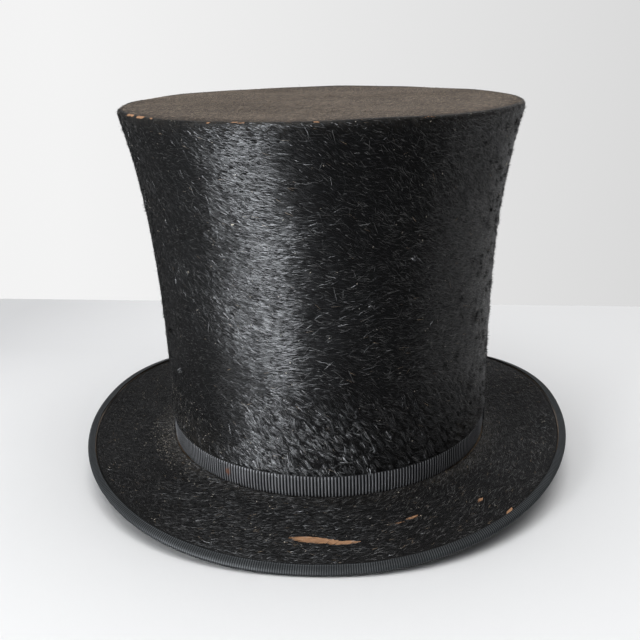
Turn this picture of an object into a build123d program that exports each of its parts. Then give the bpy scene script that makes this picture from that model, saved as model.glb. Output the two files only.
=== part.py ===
"""An old top hat with a flared oval crown, a curled oval brim, a ribbed ribbon band and a leather-lined inside.

Every layer is its own closed solid, in millimetres. +Z is up and the hat's front faces -Y, so the wearer's left
is at +X. The origin is the centre of the brim's outline, on the surface that the brim stands on.

Most pieces are rings: closed surfaces through a few oval curves. An oval's place on the crown is given by its
height and by its inset, the distance inside the outermost ribbon. Its place on the brim is given by the
distance back from the outer edge and by its level above the brim's middle surface.
"""

from build123d import *
from math import atan2, cos, degrees, hypot, pi, sin
import os

# Crown: outermost half axes, where it meets the brim and at the tip
BASE_HALF_WIDTH = 83.6
BASE_HALF_LENGTH = 102.4
TIP_HALF_WIDTH = 100.9
TIP_HALF_LENGTH = 121.5
CROWN_HEIGHT = 171.0
FLARE_STEADY = 0.21  # share of the flare that grows evenly with height
FLARE_POWER = 3.5  # the rest grows with this power of the height
LEAN = -3.0  # how far the tip stands off the brim's centre, along X
TIP_RISE_LEFT = 0.7  # how much higher the tip stands at its left edge than at its middle
TIP_RISE_BACK = 5.3  # and at its back edge

# Brim: outer outline, and heights of its middle surface
BRIM_HALF_WIDTH = 125.0
BRIM_HALF_LENGTH = 154.0
BRIM_SQUARENESS = 2.19  # exponent of the superellipse; 2 is a plain ellipse
BRIM_DIP = 5.8  # front and back edges below the crown joint
BRIM_SIDE_RISE = 16.4  # side edges above the front and back edges
BRIM_CURL = 1.8  # power with which the brim leaves the level of the crown joint

# Thicknesses
GLUE = 0.15  # gap between glued layers
BAND_THICK = 0.6
PLUSH_THICK = 1.0
SHELL_THICK = 1.5
COLLAR_THICK = 0.6
LINING_THICK = 0.35
SWEATBAND_THICK = 1.0
CORE_THICK = 1.5
BRIM_CLOTH_THICK = 0.5
BINDING_THICK = 0.6
BINDING_HALF_HEIGHT = 1.6
BINDING_WIDTH = 4.6
CORE_SETBACK = 1.7  # from the brim's outer edge to the board's
REED_RADIUS = 0.9
THREAD_RADIUS = 0.22

# Heights above the brim's upper face at the crown
BAND_HEIGHT = 10.7
COLLAR_HEIGHT = 12.0
SWEATBAND_HEIGHT = 45.0
LINING_START = 30.0

# Bows and stitches
BOW_CENTRE_Y = 12.0  # the band's bow sits a little behind the middle of the left side
BOW_LENGTH = 34.0
BOW_THICK = 1.4
KEEPER_LENGTH = 7.0
KEEPER_THICK = 0.6
INNER_BOW_LENGTH = 24.0
INNER_BOW_HEIGHT = 7.0
INNER_KNOT_LENGTH = 5.0
TAIL_LENGTH = 16.0
TAIL_WIDTH = 4.5
SWEATBAND_STITCHES = 96
BINDING_STITCHES = 140
STITCH_LENGTH = 3.0

CURVE_POINTS = 32
ROUND_STEPS = 6
TURN = 2 * pi

# Levels of the brim's layers, from its middle surface
CORE_FACE = CORE_THICK / 2
CLOTH_FACE = CORE_FACE + GLUE
BRIM_FACE = CLOTH_FACE + BRIM_CLOTH_THICK
MIDDLE_AT_CROWN = BINDING_HALF_HEIGHT + BRIM_DIP
BASE_Z = MIDDLE_AT_CROWN + BRIM_FACE

# Insets of the crown's layers: the outer face of each
PLUSH_INSET = BAND_THICK + GLUE
SHELL_INSET = PLUSH_INSET + PLUSH_THICK + GLUE
COLLAR_INSET = SHELL_INSET + SHELL_THICK + GLUE
LINING_INSET = COLLAR_INSET + COLLAR_THICK + GLUE
SWEATBAND_INSET = LINING_INSET + LINING_THICK + GLUE
HEAD_INSET = SWEATBAND_INSET + SWEATBAND_THICK


def closed_curve(point_at):
    """A smooth closed wire through points at even steps of an angle."""
    points = [point_at(TURN * i / CURVE_POINTS) for i in range(CURVE_POINTS)]
    steps = [i / CURVE_POINTS for i in range(CURVE_POINTS + 1)]
    return Wire([Edge.make_spline(points, periodic=True, parameters=steps)])


def surface(curves):
    """The faces of a smooth surface through a list of curves."""
    return Shell.make_loft(curves).faces()


def tube_wall(outer, inner):
    """A ring between an outer and an inner wall, each given by its curves, with a flat face at either end."""
    ends = [Face(outer[i], [inner[i]]) for i in (0, -1)]
    return Solid(Shell([*surface(outer), *surface(inner), *ends]))


def plate(lower, upper):
    """A flat oval plate between two parallel flat curves."""
    return Solid(Shell([Face(lower), *surface([lower, upper]), Face(upper)]))


def crown_point(angle, height, inset):
    """A point on the crown, from its height above the brim's upper face and its inset."""
    rise = height / CROWN_HEIGHT
    climb = max(rise, 0.0)
    flare = FLARE_STEADY * climb + (1 - FLARE_STEADY) * climb**FLARE_POWER
    half_width = BASE_HALF_WIDTH + (TIP_HALF_WIDTH - BASE_HALF_WIDTH) * flare - inset
    half_length = BASE_HALF_LENGTH + (TIP_HALF_LENGTH - BASE_HALF_LENGTH) * flare - inset
    x = half_width * cos(angle) + LEAN * climb
    y = half_length * sin(angle)
    tilt = TIP_RISE_LEFT * x / TIP_HALF_WIDTH + TIP_RISE_BACK * y / TIP_HALF_LENGTH
    return Vector(x, y, BASE_Z + height + tilt * climb)


def crown_curve(height, inset):
    return closed_curve(lambda angle: crown_point(angle, height, inset))


def crown_wall(low, high, inset, thick, steps):
    """A layer of the crown's side, from one height to another, in front of its inset."""
    heights = [low + (high - low) * i / steps for i in range(steps + 1)]
    outer = [crown_curve(h, inset) for h in heights]
    inner = [crown_curve(h, inset + thick) for h in heights]
    return tube_wall(outer, inner)


def crown_plate(top, thick, inset):
    """A layer of the crown's flat top."""
    return plate(crown_curve(top - thick, inset), crown_curve(top, inset))


def brim_point(angle, back, level):
    """A point on the brim, from its distance back from the outer edge and its level. A negative share of the
    width lies under the crown, where the brim is level."""
    c, s = cos(angle), sin(angle)
    reach = (abs(c) ** BRIM_SQUARENESS + abs(s) ** BRIM_SQUARENESS) ** (-1 / BRIM_SQUARENESS)
    edge_x, edge_y = BRIM_HALF_WIDTH * reach * c, BRIM_HALF_LENGTH * reach * s
    joint_x, joint_y = BASE_HALF_WIDTH * c, BASE_HALF_LENGTH * s
    width = hypot(edge_x - joint_x, edge_y - joint_y)
    out = 1 - back / width
    edge_height = BINDING_HALF_HEIGHT + BRIM_SIDE_RISE * c**2
    height = MIDDLE_AT_CROWN + (edge_height - MIDDLE_AT_CROWN) * max(out, 0.0) ** BRIM_CURL
    x = joint_x + (edge_x - joint_x) * out
    y = joint_y + (edge_y - joint_y) * out
    return Vector(x, y, height + level)


def brim_share_point(angle, share, edge_back, level):
    """A point at a share of the way from the crown to a line set back from the outer edge."""
    joint = Vector(BASE_HALF_WIDTH * cos(angle), BASE_HALF_LENGTH * sin(angle))
    rim = brim_point(angle, 0, 0)
    width = hypot(rim.X - joint.X, rim.Y - joint.Y)
    back = width - share * (width - edge_back)
    return brim_point(angle, back, level)


def brim_curve(back, level):
    return closed_curve(lambda angle: brim_point(angle, back, level))


def brim_layer(inset, edge_back, level, thick):
    """A layer of the brim: one curve at its inset on the crown's joint, then out to its outer edge."""
    shares = (0.0, 0.2, 0.4, 0.6, 0.8, 0.88, 0.94, 1.0)
    curves = [
        closed_curve(lambda angle, share=share: brim_share_point(angle, share, edge_back, level))
        for share in shares
    ]
    joint_height = MIDDLE_AT_CROWN + level - BASE_Z
    curves[0] = crown_curve(joint_height, inset)
    if inset > 0:
        outside = closed_curve(lambda angle: brim_share_point(angle, 0.0, edge_back, level))
        curves.insert(1, outside)
    return extrude(surface(curves)[0], amount=thick, dir=(0, 0, 1))


def binding_side(half_height, edge):
    """The curves of a half-round fold about the brim's edge, from its lower to its upper face."""
    bend = edge + half_height
    flat = BINDING_WIDTH - bend
    steps = round(flat / (pi * half_height / ROUND_STEPS))  # as far apart as on the fold
    flats = [BINDING_WIDTH - flat * i / steps for i in range(steps)]
    curves = [brim_curve(back, -half_height) for back in flats]
    for i in range(ROUND_STEPS + 1):
        roll = pi * i / ROUND_STEPS
        curves.append(brim_curve(bend - half_height * sin(roll), -half_height * cos(roll)))
    return curves + [brim_curve(back, half_height) for back in reversed(flats)]


def binding():
    """The ribbon folded over the brim's edge, a ring of U-shaped section."""
    outer = binding_side(BINDING_HALF_HEIGHT, 0.0)
    inner = binding_side(BINDING_HALF_HEIGHT - BINDING_THICK, BINDING_THICK)
    hem = Vector(0, 0, BINDING_THICK)
    hems = [Face.extrude(curve.edges()[0], hem) for curve in (outer[0], inner[-1])]
    return Solid(Shell([*surface(outer), *surface(inner), *hems]))


def reed():
    """The round cord along the sweatband's lower edge."""
    centre_inset = SWEATBAND_INSET + REED_RADIUS
    centre_height = MIDDLE_AT_CROWN - CORE_FACE - BASE_Z
    curves = []
    for i in range(ROUND_STEPS * 2 + 1):
        roll = TURN * i / (ROUND_STEPS * 2)
        inset = centre_inset + REED_RADIUS * cos(roll)
        curves.append(crown_curve(centre_height + REED_RADIUS * sin(roll), inset))
    halves = [curves[: ROUND_STEPS + 1], curves[ROUND_STEPS:-1] + [curves[0]]]
    return Solid(Shell([*surface(halves[0]), *surface(halves[1])]))


def thread(start, end):
    """A short straight stitch between two points."""
    along = end - start
    return Plane(start, z_dir=along) * Cylinder(
        THREAD_RADIUS, along.length, align=(Align.CENTER, Align.CENTER, Align.MIN)
    )


def stitch_row(count, point_at):
    """Stitches of one length, evenly spaced along a closed line."""
    stitches = []
    for i in range(count):
        angle = TURN * (i + 0.5) / count
        ahead = point_at(angle + 0.001) - point_at(angle)
        along = ahead.normalized() * (STITCH_LENGTH / 2)
        centre = point_at(angle)
        stitches.append(thread(centre - along, centre + along))
    return Compound(children=stitches)


def bow_wall(inset, thick, low, high):
    """A strip that lies on the crown, all the way round, from which a bow's pieces are cut."""
    return crown_wall(low, high, inset, thick, 2)


def left_slice(length):
    """A block round the left side of the crown, as long as one piece of the band's bow."""
    depth = 60
    return Pos(BASE_HALF_WIDTH, BOW_CENTRE_Y, BASE_Z) * Box(depth, length, depth)


def back_slice(length, low, high):
    """A block round the back of the crown's inside, as long as one piece of the inner bow."""
    depth = 40
    block = Box(length, depth, high - low, align=(Align.CENTER, Align.CENTER, Align.MIN))
    return Pos(0, BASE_HALF_LENGTH, BASE_Z + low) * block


def band_bow_loops():
    """Two flat loops of ribbon, end to end, with a notch between them for the keeper."""
    loops = bow_wall(-GLUE - BOW_THICK, BOW_THICK, 0.5, BAND_HEIGHT - 0.5) & left_slice(BOW_LENGTH)
    notch = bow_wall(-GLUE - BOW_THICK - 1, KEEPER_THICK + 1, 0, BAND_HEIGHT)
    return loops - (notch & left_slice(KEEPER_LENGTH + GLUE * 2))


def band_bow_keeper():
    """The short ribbon across the middle of the band's bow."""
    inset = -GLUE - BOW_THICK - KEEPER_THICK / 2
    return bow_wall(inset, KEEPER_THICK, 0.3, BAND_HEIGHT - 0.3) & left_slice(KEEPER_LENGTH)


def inner_bow_loops():
    """The sweatband's small flat bow at the back, in two loops."""
    low = 14.0
    wall = bow_wall(HEAD_INSET + GLUE, BOW_THICK, low, low + INNER_BOW_HEIGHT)
    loops = wall & back_slice(INNER_BOW_LENGTH, 0, SWEATBAND_HEIGHT)
    return loops - back_slice(INNER_KNOT_LENGTH + GLUE * 2, 0, SWEATBAND_HEIGHT)


def inner_bow_knot():
    low = 14.5
    wall = bow_wall(HEAD_INSET + GLUE, BOW_THICK * 1.4, low, low + INNER_BOW_HEIGHT - 1)
    return wall & back_slice(INNER_KNOT_LENGTH, 0, SWEATBAND_HEIGHT)


def inner_bow_tails():
    """The bow's two ribbon ends, which hang below it."""
    wall = bow_wall(HEAD_INSET + GLUE, LINING_THICK, 14.0 - GLUE - TAIL_LENGTH / 2, 14.0 - GLUE)
    block = back_slice(TAIL_WIDTH, -TAIL_LENGTH, SWEATBAND_HEIGHT)
    offset = TAIL_WIDTH * 0.8
    return Compound(children=[wall & (Pos(side * offset, 0, 0) * block) for side in (-1, 1)])


def crown_parts():
    """The stiff shell of the crown, the strip that joins it to the brim, and the plush on it."""
    shell_top = CROWN_HEIGHT - PLUSH_THICK - GLUE - SHELL_THICK - GLUE
    on_core = MIDDLE_AT_CROWN + CORE_FACE + GLUE - BASE_Z
    collar_low = MIDDLE_AT_CROWN - CORE_FACE - BASE_Z
    return {
        "crown_side_shell": crown_wall(on_core, shell_top, SHELL_INSET, SHELL_THICK, 6),
        "crown_tip_shell": crown_plate(CROWN_HEIGHT - PLUSH_THICK - GLUE, SHELL_THICK, SHELL_INSET),
        "crown_brim_collar": crown_wall(collar_low, COLLAR_HEIGHT, COLLAR_INSET, COLLAR_THICK, 2),
        "side_plush": crown_wall(
            on_core, CROWN_HEIGHT - PLUSH_THICK - GLUE, PLUSH_INSET, PLUSH_THICK, 6
        ),
        "tip_plush": crown_plate(CROWN_HEIGHT, PLUSH_THICK, PLUSH_INSET),
    }


def brim_parts():
    """The brim's board, the cloth on its two faces and the ribbon round its edge."""
    cloth_edge = BINDING_WIDTH + GLUE
    return {
        "brim_core": brim_layer(COLLAR_INSET - GLUE, CORE_SETBACK, -CORE_FACE, CORE_THICK),
        "brim_top_plush": brim_layer(-GLUE, cloth_edge, CLOTH_FACE, BRIM_CLOTH_THICK),
        "brim_under_cloth": brim_layer(
            COLLAR_INSET - GLUE, cloth_edge, -BRIM_FACE, BRIM_CLOTH_THICK
        ),
        "brim_binding": binding(),
        "binding_stitches": stitch_row(
            BINDING_STITCHES,
            lambda angle: brim_point(
                angle, BINDING_WIDTH + 0.7, -BRIM_FACE - THREAD_RADIUS - 0.2
            ),
        ),
    }


def band_parts():
    """The ribbed ribbon round the crown, and its flat bow."""
    return {
        "hat_band": crown_wall(GLUE, BAND_HEIGHT, 0.0, BAND_THICK, 2),
        "band_bow_loops": band_bow_loops(),
        "band_bow_keeper": band_bow_keeper(),
    }


def inside_parts():
    """The lining, and the leather band that touches the head."""
    lining_top = CROWN_HEIGHT - PLUSH_THICK - SHELL_THICK - GLUE * 4
    band_low = MIDDLE_AT_CROWN - CORE_FACE - BASE_Z + REED_RADIUS + GLUE
    thread_inset = HEAD_INSET + GLUE + THREAD_RADIUS
    return {
        "side_lining": crown_wall(
            LINING_START, lining_top - LINING_THICK, LINING_INSET, LINING_THICK, 6
        ),
        "tip_lining": crown_plate(lining_top, LINING_THICK, LINING_INSET + GLUE),
        "sweatband": crown_wall(band_low, SWEATBAND_HEIGHT, SWEATBAND_INSET, SWEATBAND_THICK, 3),
        "sweatband_reed": reed(),
        "sweatband_stitches": stitch_row(
            SWEATBAND_STITCHES, lambda angle: crown_point(angle, 2.5, thread_inset)
        ),
        "inner_bow_loops": inner_bow_loops(),
        "inner_bow_knot": inner_bow_knot(),
        "inner_bow_tails": inner_bow_tails(),
    }


def main():
    os.makedirs("parts", exist_ok=True)
    parts = {**crown_parts(), **brim_parts(), **band_parts(), **inside_parts()}
    set_down = Pos(0, 0, -parts["brim_binding"].bounding_box().min.Z)
    for name, shape in parts.items():
        export_step(set_down * shape, f"parts/{name}.step")
    print("set down by", round(set_down.position.Z, 3))


main()
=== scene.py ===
"""The looks of an old plush top hat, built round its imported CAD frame. Lengths are in metres."""

from math import cos, pi, radians, sin

import bpy
import numpy as np
from mathutils import Matrix, Vector


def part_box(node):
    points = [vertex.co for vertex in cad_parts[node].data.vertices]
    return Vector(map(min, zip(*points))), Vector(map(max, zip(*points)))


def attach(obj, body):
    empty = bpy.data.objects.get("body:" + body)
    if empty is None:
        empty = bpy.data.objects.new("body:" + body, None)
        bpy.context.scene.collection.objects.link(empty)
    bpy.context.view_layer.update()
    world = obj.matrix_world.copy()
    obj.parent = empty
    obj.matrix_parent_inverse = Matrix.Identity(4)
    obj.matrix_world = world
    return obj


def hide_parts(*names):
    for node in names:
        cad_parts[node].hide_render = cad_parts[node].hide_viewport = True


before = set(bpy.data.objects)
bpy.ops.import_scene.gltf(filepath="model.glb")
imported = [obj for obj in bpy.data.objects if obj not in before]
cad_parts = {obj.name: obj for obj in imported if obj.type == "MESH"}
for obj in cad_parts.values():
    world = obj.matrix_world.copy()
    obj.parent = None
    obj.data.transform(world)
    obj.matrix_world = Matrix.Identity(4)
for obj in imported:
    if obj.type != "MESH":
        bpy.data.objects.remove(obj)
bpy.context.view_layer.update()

MM = 0.001
TURN = 2 * pi

# The crown and brim that part.py builds, in metres
BASE_W, BASE_L = 83.6 * MM, 102.4 * MM
TIP_W, TIP_L = 100.9 * MM, 121.5 * MM
CROWN = 171 * MM
STEADY, POWER, LEAN = 0.21, 3.5, -3 * MM
RISE_LEFT, RISE_BACK = 0.7 * MM, 5.3 * MM
BRIM_W, BRIM_L = 125 * MM, 154 * MM
SQUARE, SIDE_RISE, CURL = 2.19, 16.4 * MM, 1.8
BINDING, BINDING_HALF = 4.6 * MM, 1.6 * MM
CORE_HALF, CLOTH = 0.75 * MM, 0.5 * MM
BRIM_FACE = CORE_HALF + 0.15 * MM + CLOTH
BAND = 10.7 * MM
GLUE = 0.15 * MM

# Heights that the frame gives
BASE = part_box("hat_band")[0].z - GLUE
JOINT = BASE - BRIM_FACE  # middle of the brim's board at the crown
EDGE = JOINT - 5.8 * MM  # and at its front and back edges
SEAM = radians(90)  # where the patterns begin, at the hat's back

# Mean radii that turn angles into lengths, for patterns
TUFT_RADIUS, CROWN_RADIUS, RIBBON_RADIUS, BRIM_RADIUS = 94 * MM, 95 * MM, 100 * MM, 118 * MM

# The crown's tufts: length, breadth and slant
TUFT_LONG, TUFT_WIDE, TUFT_SLANT = 7.5 * MM, 3.6 * MM, -0.95

# How many hairs are tried in each part of the nap
CROWN_SECTORS, CROWN_HAIRS = 7, 46000
BRIM_SECTORS, BRIM_HAIRS = 3, 46000
TIP_HAIRS, LOOSE_HAIRS = 48000, 5000

# Tones of hair: colour, roughness and specular level
CROWN_TONES = {
    "hair_black": ((0.002, 0.002, 0.0026), 0.32, 0.6),
    "hair_dark": ((0.0045, 0.0044, 0.0048), 0.34, 0.6),
    "hair_grey": ((0.11, 0.107, 0.104), 0.4, 0.5),
    "hair_tan": ((0.30, 0.22, 0.14), 0.55, 0.5),
    "hair_dull": ((0.0018, 0.0018, 0.002), 0.6, 0.13),
}
BLACK, DARK, GREY, TAN, DULL = range(5)
TIP_TONES = {
    "tip_hair_dark": ((0.040, 0.030, 0.023), 0.7, 0.2),
    "tip_hair_brown": ((0.18, 0.140, 0.106), 0.7, 0.2),
    "tip_hair_tan": ((0.34, 0.275, 0.205), 0.7, 0.2),
}
BRIM_TONES = {
    "brim_hair_black": ((0.002, 0.002, 0.0026), 0.38, 0.18),
    "brim_hair_dark": ((0.006, 0.0055, 0.0055), 0.4, 0.22),
}
LINT_TONES = {
    "lint_cream": ((0.62, 0.56, 0.46), 0.7, 0.5),
    "lint_grey": ((0.32, 0.30, 0.27), 0.7, 0.5),
}


# -------- noise


def lattice(ix, iy, iz, seed):
    """A random number from 0 to 1 at each point of a whole-number grid."""
    h = (ix.astype(np.uint32) * np.uint32(374761393)) ^ (iy.astype(np.uint32) * np.uint32(668265263))
    h = h ^ (iz.astype(np.uint32) * np.uint32(2246822519)) ^ np.uint32(seed * 7919 + 17)
    h = (h ^ (h >> np.uint32(13))) * np.uint32(1274126177)
    h = (h ^ (h >> np.uint32(16))) * np.uint32(2654435761)
    h = h ^ (h >> np.uint32(15))
    return (h & np.uint32(0xFFFFFF)).astype(float) / 0xFFFFFF


def noise(p, cell, seed):
    """Smooth noise from -1 to 1 at points p, with features about cell across."""
    q = p / cell
    f = np.floor(q)
    i = f.astype(np.int64)
    t = q - f
    t = t * t * (3 - 2 * t)
    total = 0
    for step in np.ndindex(2, 2, 2):
        corner = lattice(*(i[..., k] + step[k] for k in range(3)), seed)
        wx, wy, wz = (t[..., k] if step[k] else 1 - t[..., k] for k in range(3))
        total = total + corner * wx * wy * wz
    return 2 * total - 1


def layered(p, cell, seed, layers=3):
    """Noise of several sizes, each half the one before."""
    return sum(noise(p, cell / 2**k, seed + k) / 2**k for k in range(layers)) / (2 - 0.5 ** (layers - 1))


def tufts(u, v, seed):
    """Scattered cells in the plane: the depth inside each cell from 0 at its border, a random number for each
    cell, and the way to its middle."""
    iu, iv = np.floor(u).astype(np.int64), np.floor(v).astype(np.int64)
    first = np.full(u.shape, 9.0)
    second = np.full(u.shape, 9.0)
    pick = np.zeros(u.shape)
    to_u, to_v = np.zeros(u.shape), np.zeros(u.shape)
    zero = np.zeros_like(iu)
    for du in (-1, 0, 1):
        for dv in (-1, 0, 1):
            cu, cv = iu + du, iv + dv
            off_u = cu + 0.15 + 0.7 * lattice(cu, cv, zero, seed) - u
            off_v = cv + 0.15 + 0.7 * lattice(cu, cv, zero, seed + 1) - v
            far = np.hypot(off_u, off_v)
            near = far < first
            second = np.where(near, first, np.minimum(second, far))
            pick = np.where(near, lattice(cu, cv, zero, seed + 2), pick)
            to_u, to_v = np.where(near, off_u, to_u), np.where(near, off_v, to_v)
            first = np.where(near, far, first)
    return second - first, pick, to_u, to_v


def smooth(low, high, x):
    """Rises softly from 0 at low to 1 at high, or falls if high is the smaller."""
    t = np.clip((x - low) / (high - low), 0, 1)
    return t * t * (3 - 2 * t)


def away_from(angle, middle):
    """How many degrees an angle in radians is past one in degrees, from -180 to 180."""
    return (np.degrees(angle) - middle + 180) % 360 - 180


def around(angle, middle, width):
    """1 at a middle in degrees, and 0 further than a width from it."""
    return 1 - smooth(0.35, 1, np.abs(away_from(angle, middle)) / width)


# -------- the hat's surfaces


def crown(angle, height, out=0.0):
    """Points on the crown, at a height above the brim and a distance outside the outermost ribbon."""
    climb = np.maximum(height / CROWN, 0)
    flare = STEADY * climb + (1 - STEADY) * climb**POWER
    x = (BASE_W + (TIP_W - BASE_W) * flare + out) * np.cos(angle) + LEAN * climb
    y = (BASE_L + (TIP_L - BASE_L) * flare + out) * np.sin(angle)
    z = BASE + height + tip_slope(x, y) * climb
    return np.stack([x, y, z], -1)


def brim(angle, share, level=0.0):
    """Points on the brim, at a share of the way from the crown to the edge and a level above its middle."""
    c, s = np.cos(angle), np.sin(angle)
    reach = (np.abs(c) ** SQUARE + np.abs(s) ** SQUARE) ** (-1 / SQUARE)
    x = BASE_W * c + (BRIM_W * reach - BASE_W) * c * share
    y = BASE_L * s + (BRIM_L * reach - BASE_L) * s * share
    z = JOINT + (EDGE + SIDE_RISE * c**2 - JOINT) * np.maximum(share, 0) ** CURL
    return np.stack([x, y, z + level], -1)


def brim_width(angle):
    """How far the brim reaches out from the crown."""
    ends = brim(angle, np.ones_like(angle)) - brim(angle, np.zeros_like(angle))
    return np.hypot(ends[..., 0], ends[..., 1])


def tip_slope(x, y):
    """How far the crown's top stands above its middle, at a place in plan."""
    return RISE_LEFT * x / TIP_W + RISE_BACK * y / TIP_L


def unit(v):
    """Vectors of length 1 in the same directions."""
    return v / np.maximum(np.linalg.norm(v, axis=-1, keepdims=True), 1e-12)


def axes_of(surface, a, b, da=0.002, db=0.5 * MM):
    """Points of a surface with their two directions and outward normals."""
    p = surface(a, b)
    along = unit(surface(a + da, b) - p)
    up = unit(surface(a, b + db) - p)
    normal = unit(np.cross(along, up))
    return p, along, unit(np.cross(normal, along)), normal


def brim_axes(angle, share):
    """Points of the brim's nap with their two directions and upward normals."""
    p, along, out, normal = axes_of(brim_nap, angle, share, db=0.01)
    return p, along, out, normal * np.sign(normal[:, 2])[:, None]


# -------- meshes


def new_piece(name, points, faces, materials, nodes=(), values=None, choice=None):
    """A mesh piece from arrays. faces is a list of arrays of equal-sided faces. Hairs, which choose their material
    face by face, stay flat-shaded."""
    mesh = bpy.data.meshes.new(name)
    mesh.vertices.add(len(points))
    mesh.vertices.foreach_set("co", np.ascontiguousarray(points, np.float32).ravel())
    corners = np.concatenate([f.ravel() for f in faces]).astype(np.int32)
    sizes = np.concatenate([np.full(len(f), f.shape[1], np.int32) for f in faces])
    mesh.loops.add(len(corners))
    mesh.loops.foreach_set("vertex_index", corners)
    mesh.polygons.add(len(sizes))
    mesh.polygons.foreach_set("loop_start", (np.cumsum(sizes) - sizes).astype(np.int32))
    for m in materials:
        mesh.materials.append(m)
    if choice is not None:
        mesh.polygons.foreach_set("material_index", choice.astype(np.int32))
    for key, data in (values or {}).items():
        kind = "FLOAT_VECTOR" if data.ndim == 2 else "FLOAT"
        layer = mesh.attributes.new(key, kind, "POINT")
        layer.data.foreach_set("vector" if data.ndim == 2 else "value", data.astype(np.float32).ravel())
    mesh.update(calc_edges=True)
    if choice is None:
        mesh.shade_smooth()
    else:
        mesh.shade_flat()
    piece = bpy.data.objects.new(name, mesh)
    bpy.context.scene.collection.objects.link(piece)
    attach(piece, "root")
    if nodes:
        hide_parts(*nodes)
    return piece


def wrap_faces(rows, cols, close_rows=True):
    """The quads of a grid of points whose columns close on themselves, and its rows if asked."""
    i = np.arange(rows if close_rows else rows - 1)[:, None]
    j = np.arange(cols)[None, :]
    k, m = (i + 1) % rows, (j + 1) % cols
    quads = np.stack([i * cols + j, i * cols + m, k * cols + m, k * cols + j], -1)
    return quads.reshape(-1, 4)


def flattened(values):
    """Values kept row by row, as one long array for each name."""
    return {key: np.stack(rows).reshape(-1, *np.shape(rows[0])[1:]) for key, rows in (values or {}).items()}


def ring_piece(name, rows, paint, nodes, values=None):
    """A closed ring: each row is a loop of points round the hat, and the rows go round its section."""
    points = np.stack(rows)
    faces = wrap_faces(len(rows), points.shape[1])
    return new_piece(name, points.reshape(-1, 3), [faces], [paint], nodes, flattened(values))


def disc_piece(name, rings, top, bottom, paint, nodes, values):
    """A closed disc: rings of points from the middle of its top, over the edge, to the middle of its bottom."""
    points = np.stack(rings)
    rows, cols = points.shape[:2]
    body = wrap_faces(rows, cols, close_rows=False)[:, ::-1]
    j = np.arange(cols)
    m = (j + 1) % cols
    first, last = rows * cols, rows * cols + 1
    cap = np.stack([np.full(cols, first), j, m], -1)
    foot = (rows - 1) * cols
    base = np.stack([np.full(cols, last), foot + m, foot + j], -1)
    all_points = np.concatenate([points.reshape(-1, 3), [top], [bottom]])
    flat = {key: np.concatenate([data, data[:1], data[-1:]]) for key, data in flattened(values).items()}
    return new_piece(name, all_points, [body, cap, base], [paint], nodes, flat)


def spikes(roots, along, normal, length, width, bend=0.0, steps=1):
    """Closed tapering hairs. Each starts at its root and goes along its direction, flat against the normal."""
    n = len(roots)
    side = unit(np.cross(along, normal))
    over = unit(np.cross(side, along))
    length, width = np.broadcast_to(length, n), np.broadcast_to(width, n)
    bend = np.broadcast_to(bend, n)
    layers = []
    for k in range(steps):
        t = k / steps
        middle = roots + along * (length * t)[:, None] + over * (bend * length * t * t)[:, None]
        half = (width / 2 * (1 - t * 0.75))[:, None]
        layers.append(middle + side * half)
        layers.append(middle - side * half)
        layers.append(middle + over * half * 0.45)
    tip = roots + along * length[:, None] + over * (bend * length)[:, None]
    points = np.stack([*layers, tip], 1).reshape(-1, 3)
    count = 3 * steps + 1
    tris = [(0, 1, 2)]
    for k in range(steps - 1):
        a, b = 3 * k, 3 * k + 3
        for s in range(3):
            e = (s + 1) % 3
            tris += [(a + s, b + s, a + e), (a + e, b + s, b + e)]
    a = 3 * (steps - 1)
    tris += [(a, count - 1, a + 1), (a + 1, count - 1, a + 2), (a + 2, count - 1, a)]
    faces = np.array(tris)[None] + (np.arange(n) * count)[:, None, None]
    return points, faces.reshape(-1, 3), len(tris)


# -------- materials


def add_node(tree, kind, out=0, inputs=(), **settings):
    """Adds a shader node with its settings and inputs, sockets or plain values, and returns one of its outputs."""
    made = tree.nodes.new("ShaderNode" + kind)
    for key, value in settings.items():
        setattr(made, key, value)
    for key, value in dict(inputs).items():
        if isinstance(value, bpy.types.NodeSocket):
            tree.links.new(value, made.inputs[key])
        else:
            made.inputs[key].default_value = value
    return made.outputs[out]


def span(value, low, high, to_low=0.0, to_high=1.0):
    """The inputs of a Map Range node."""
    return {"Value": value, "From Min": low, "From Max": high, "To Min": to_low, "To Max": to_high}


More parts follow.
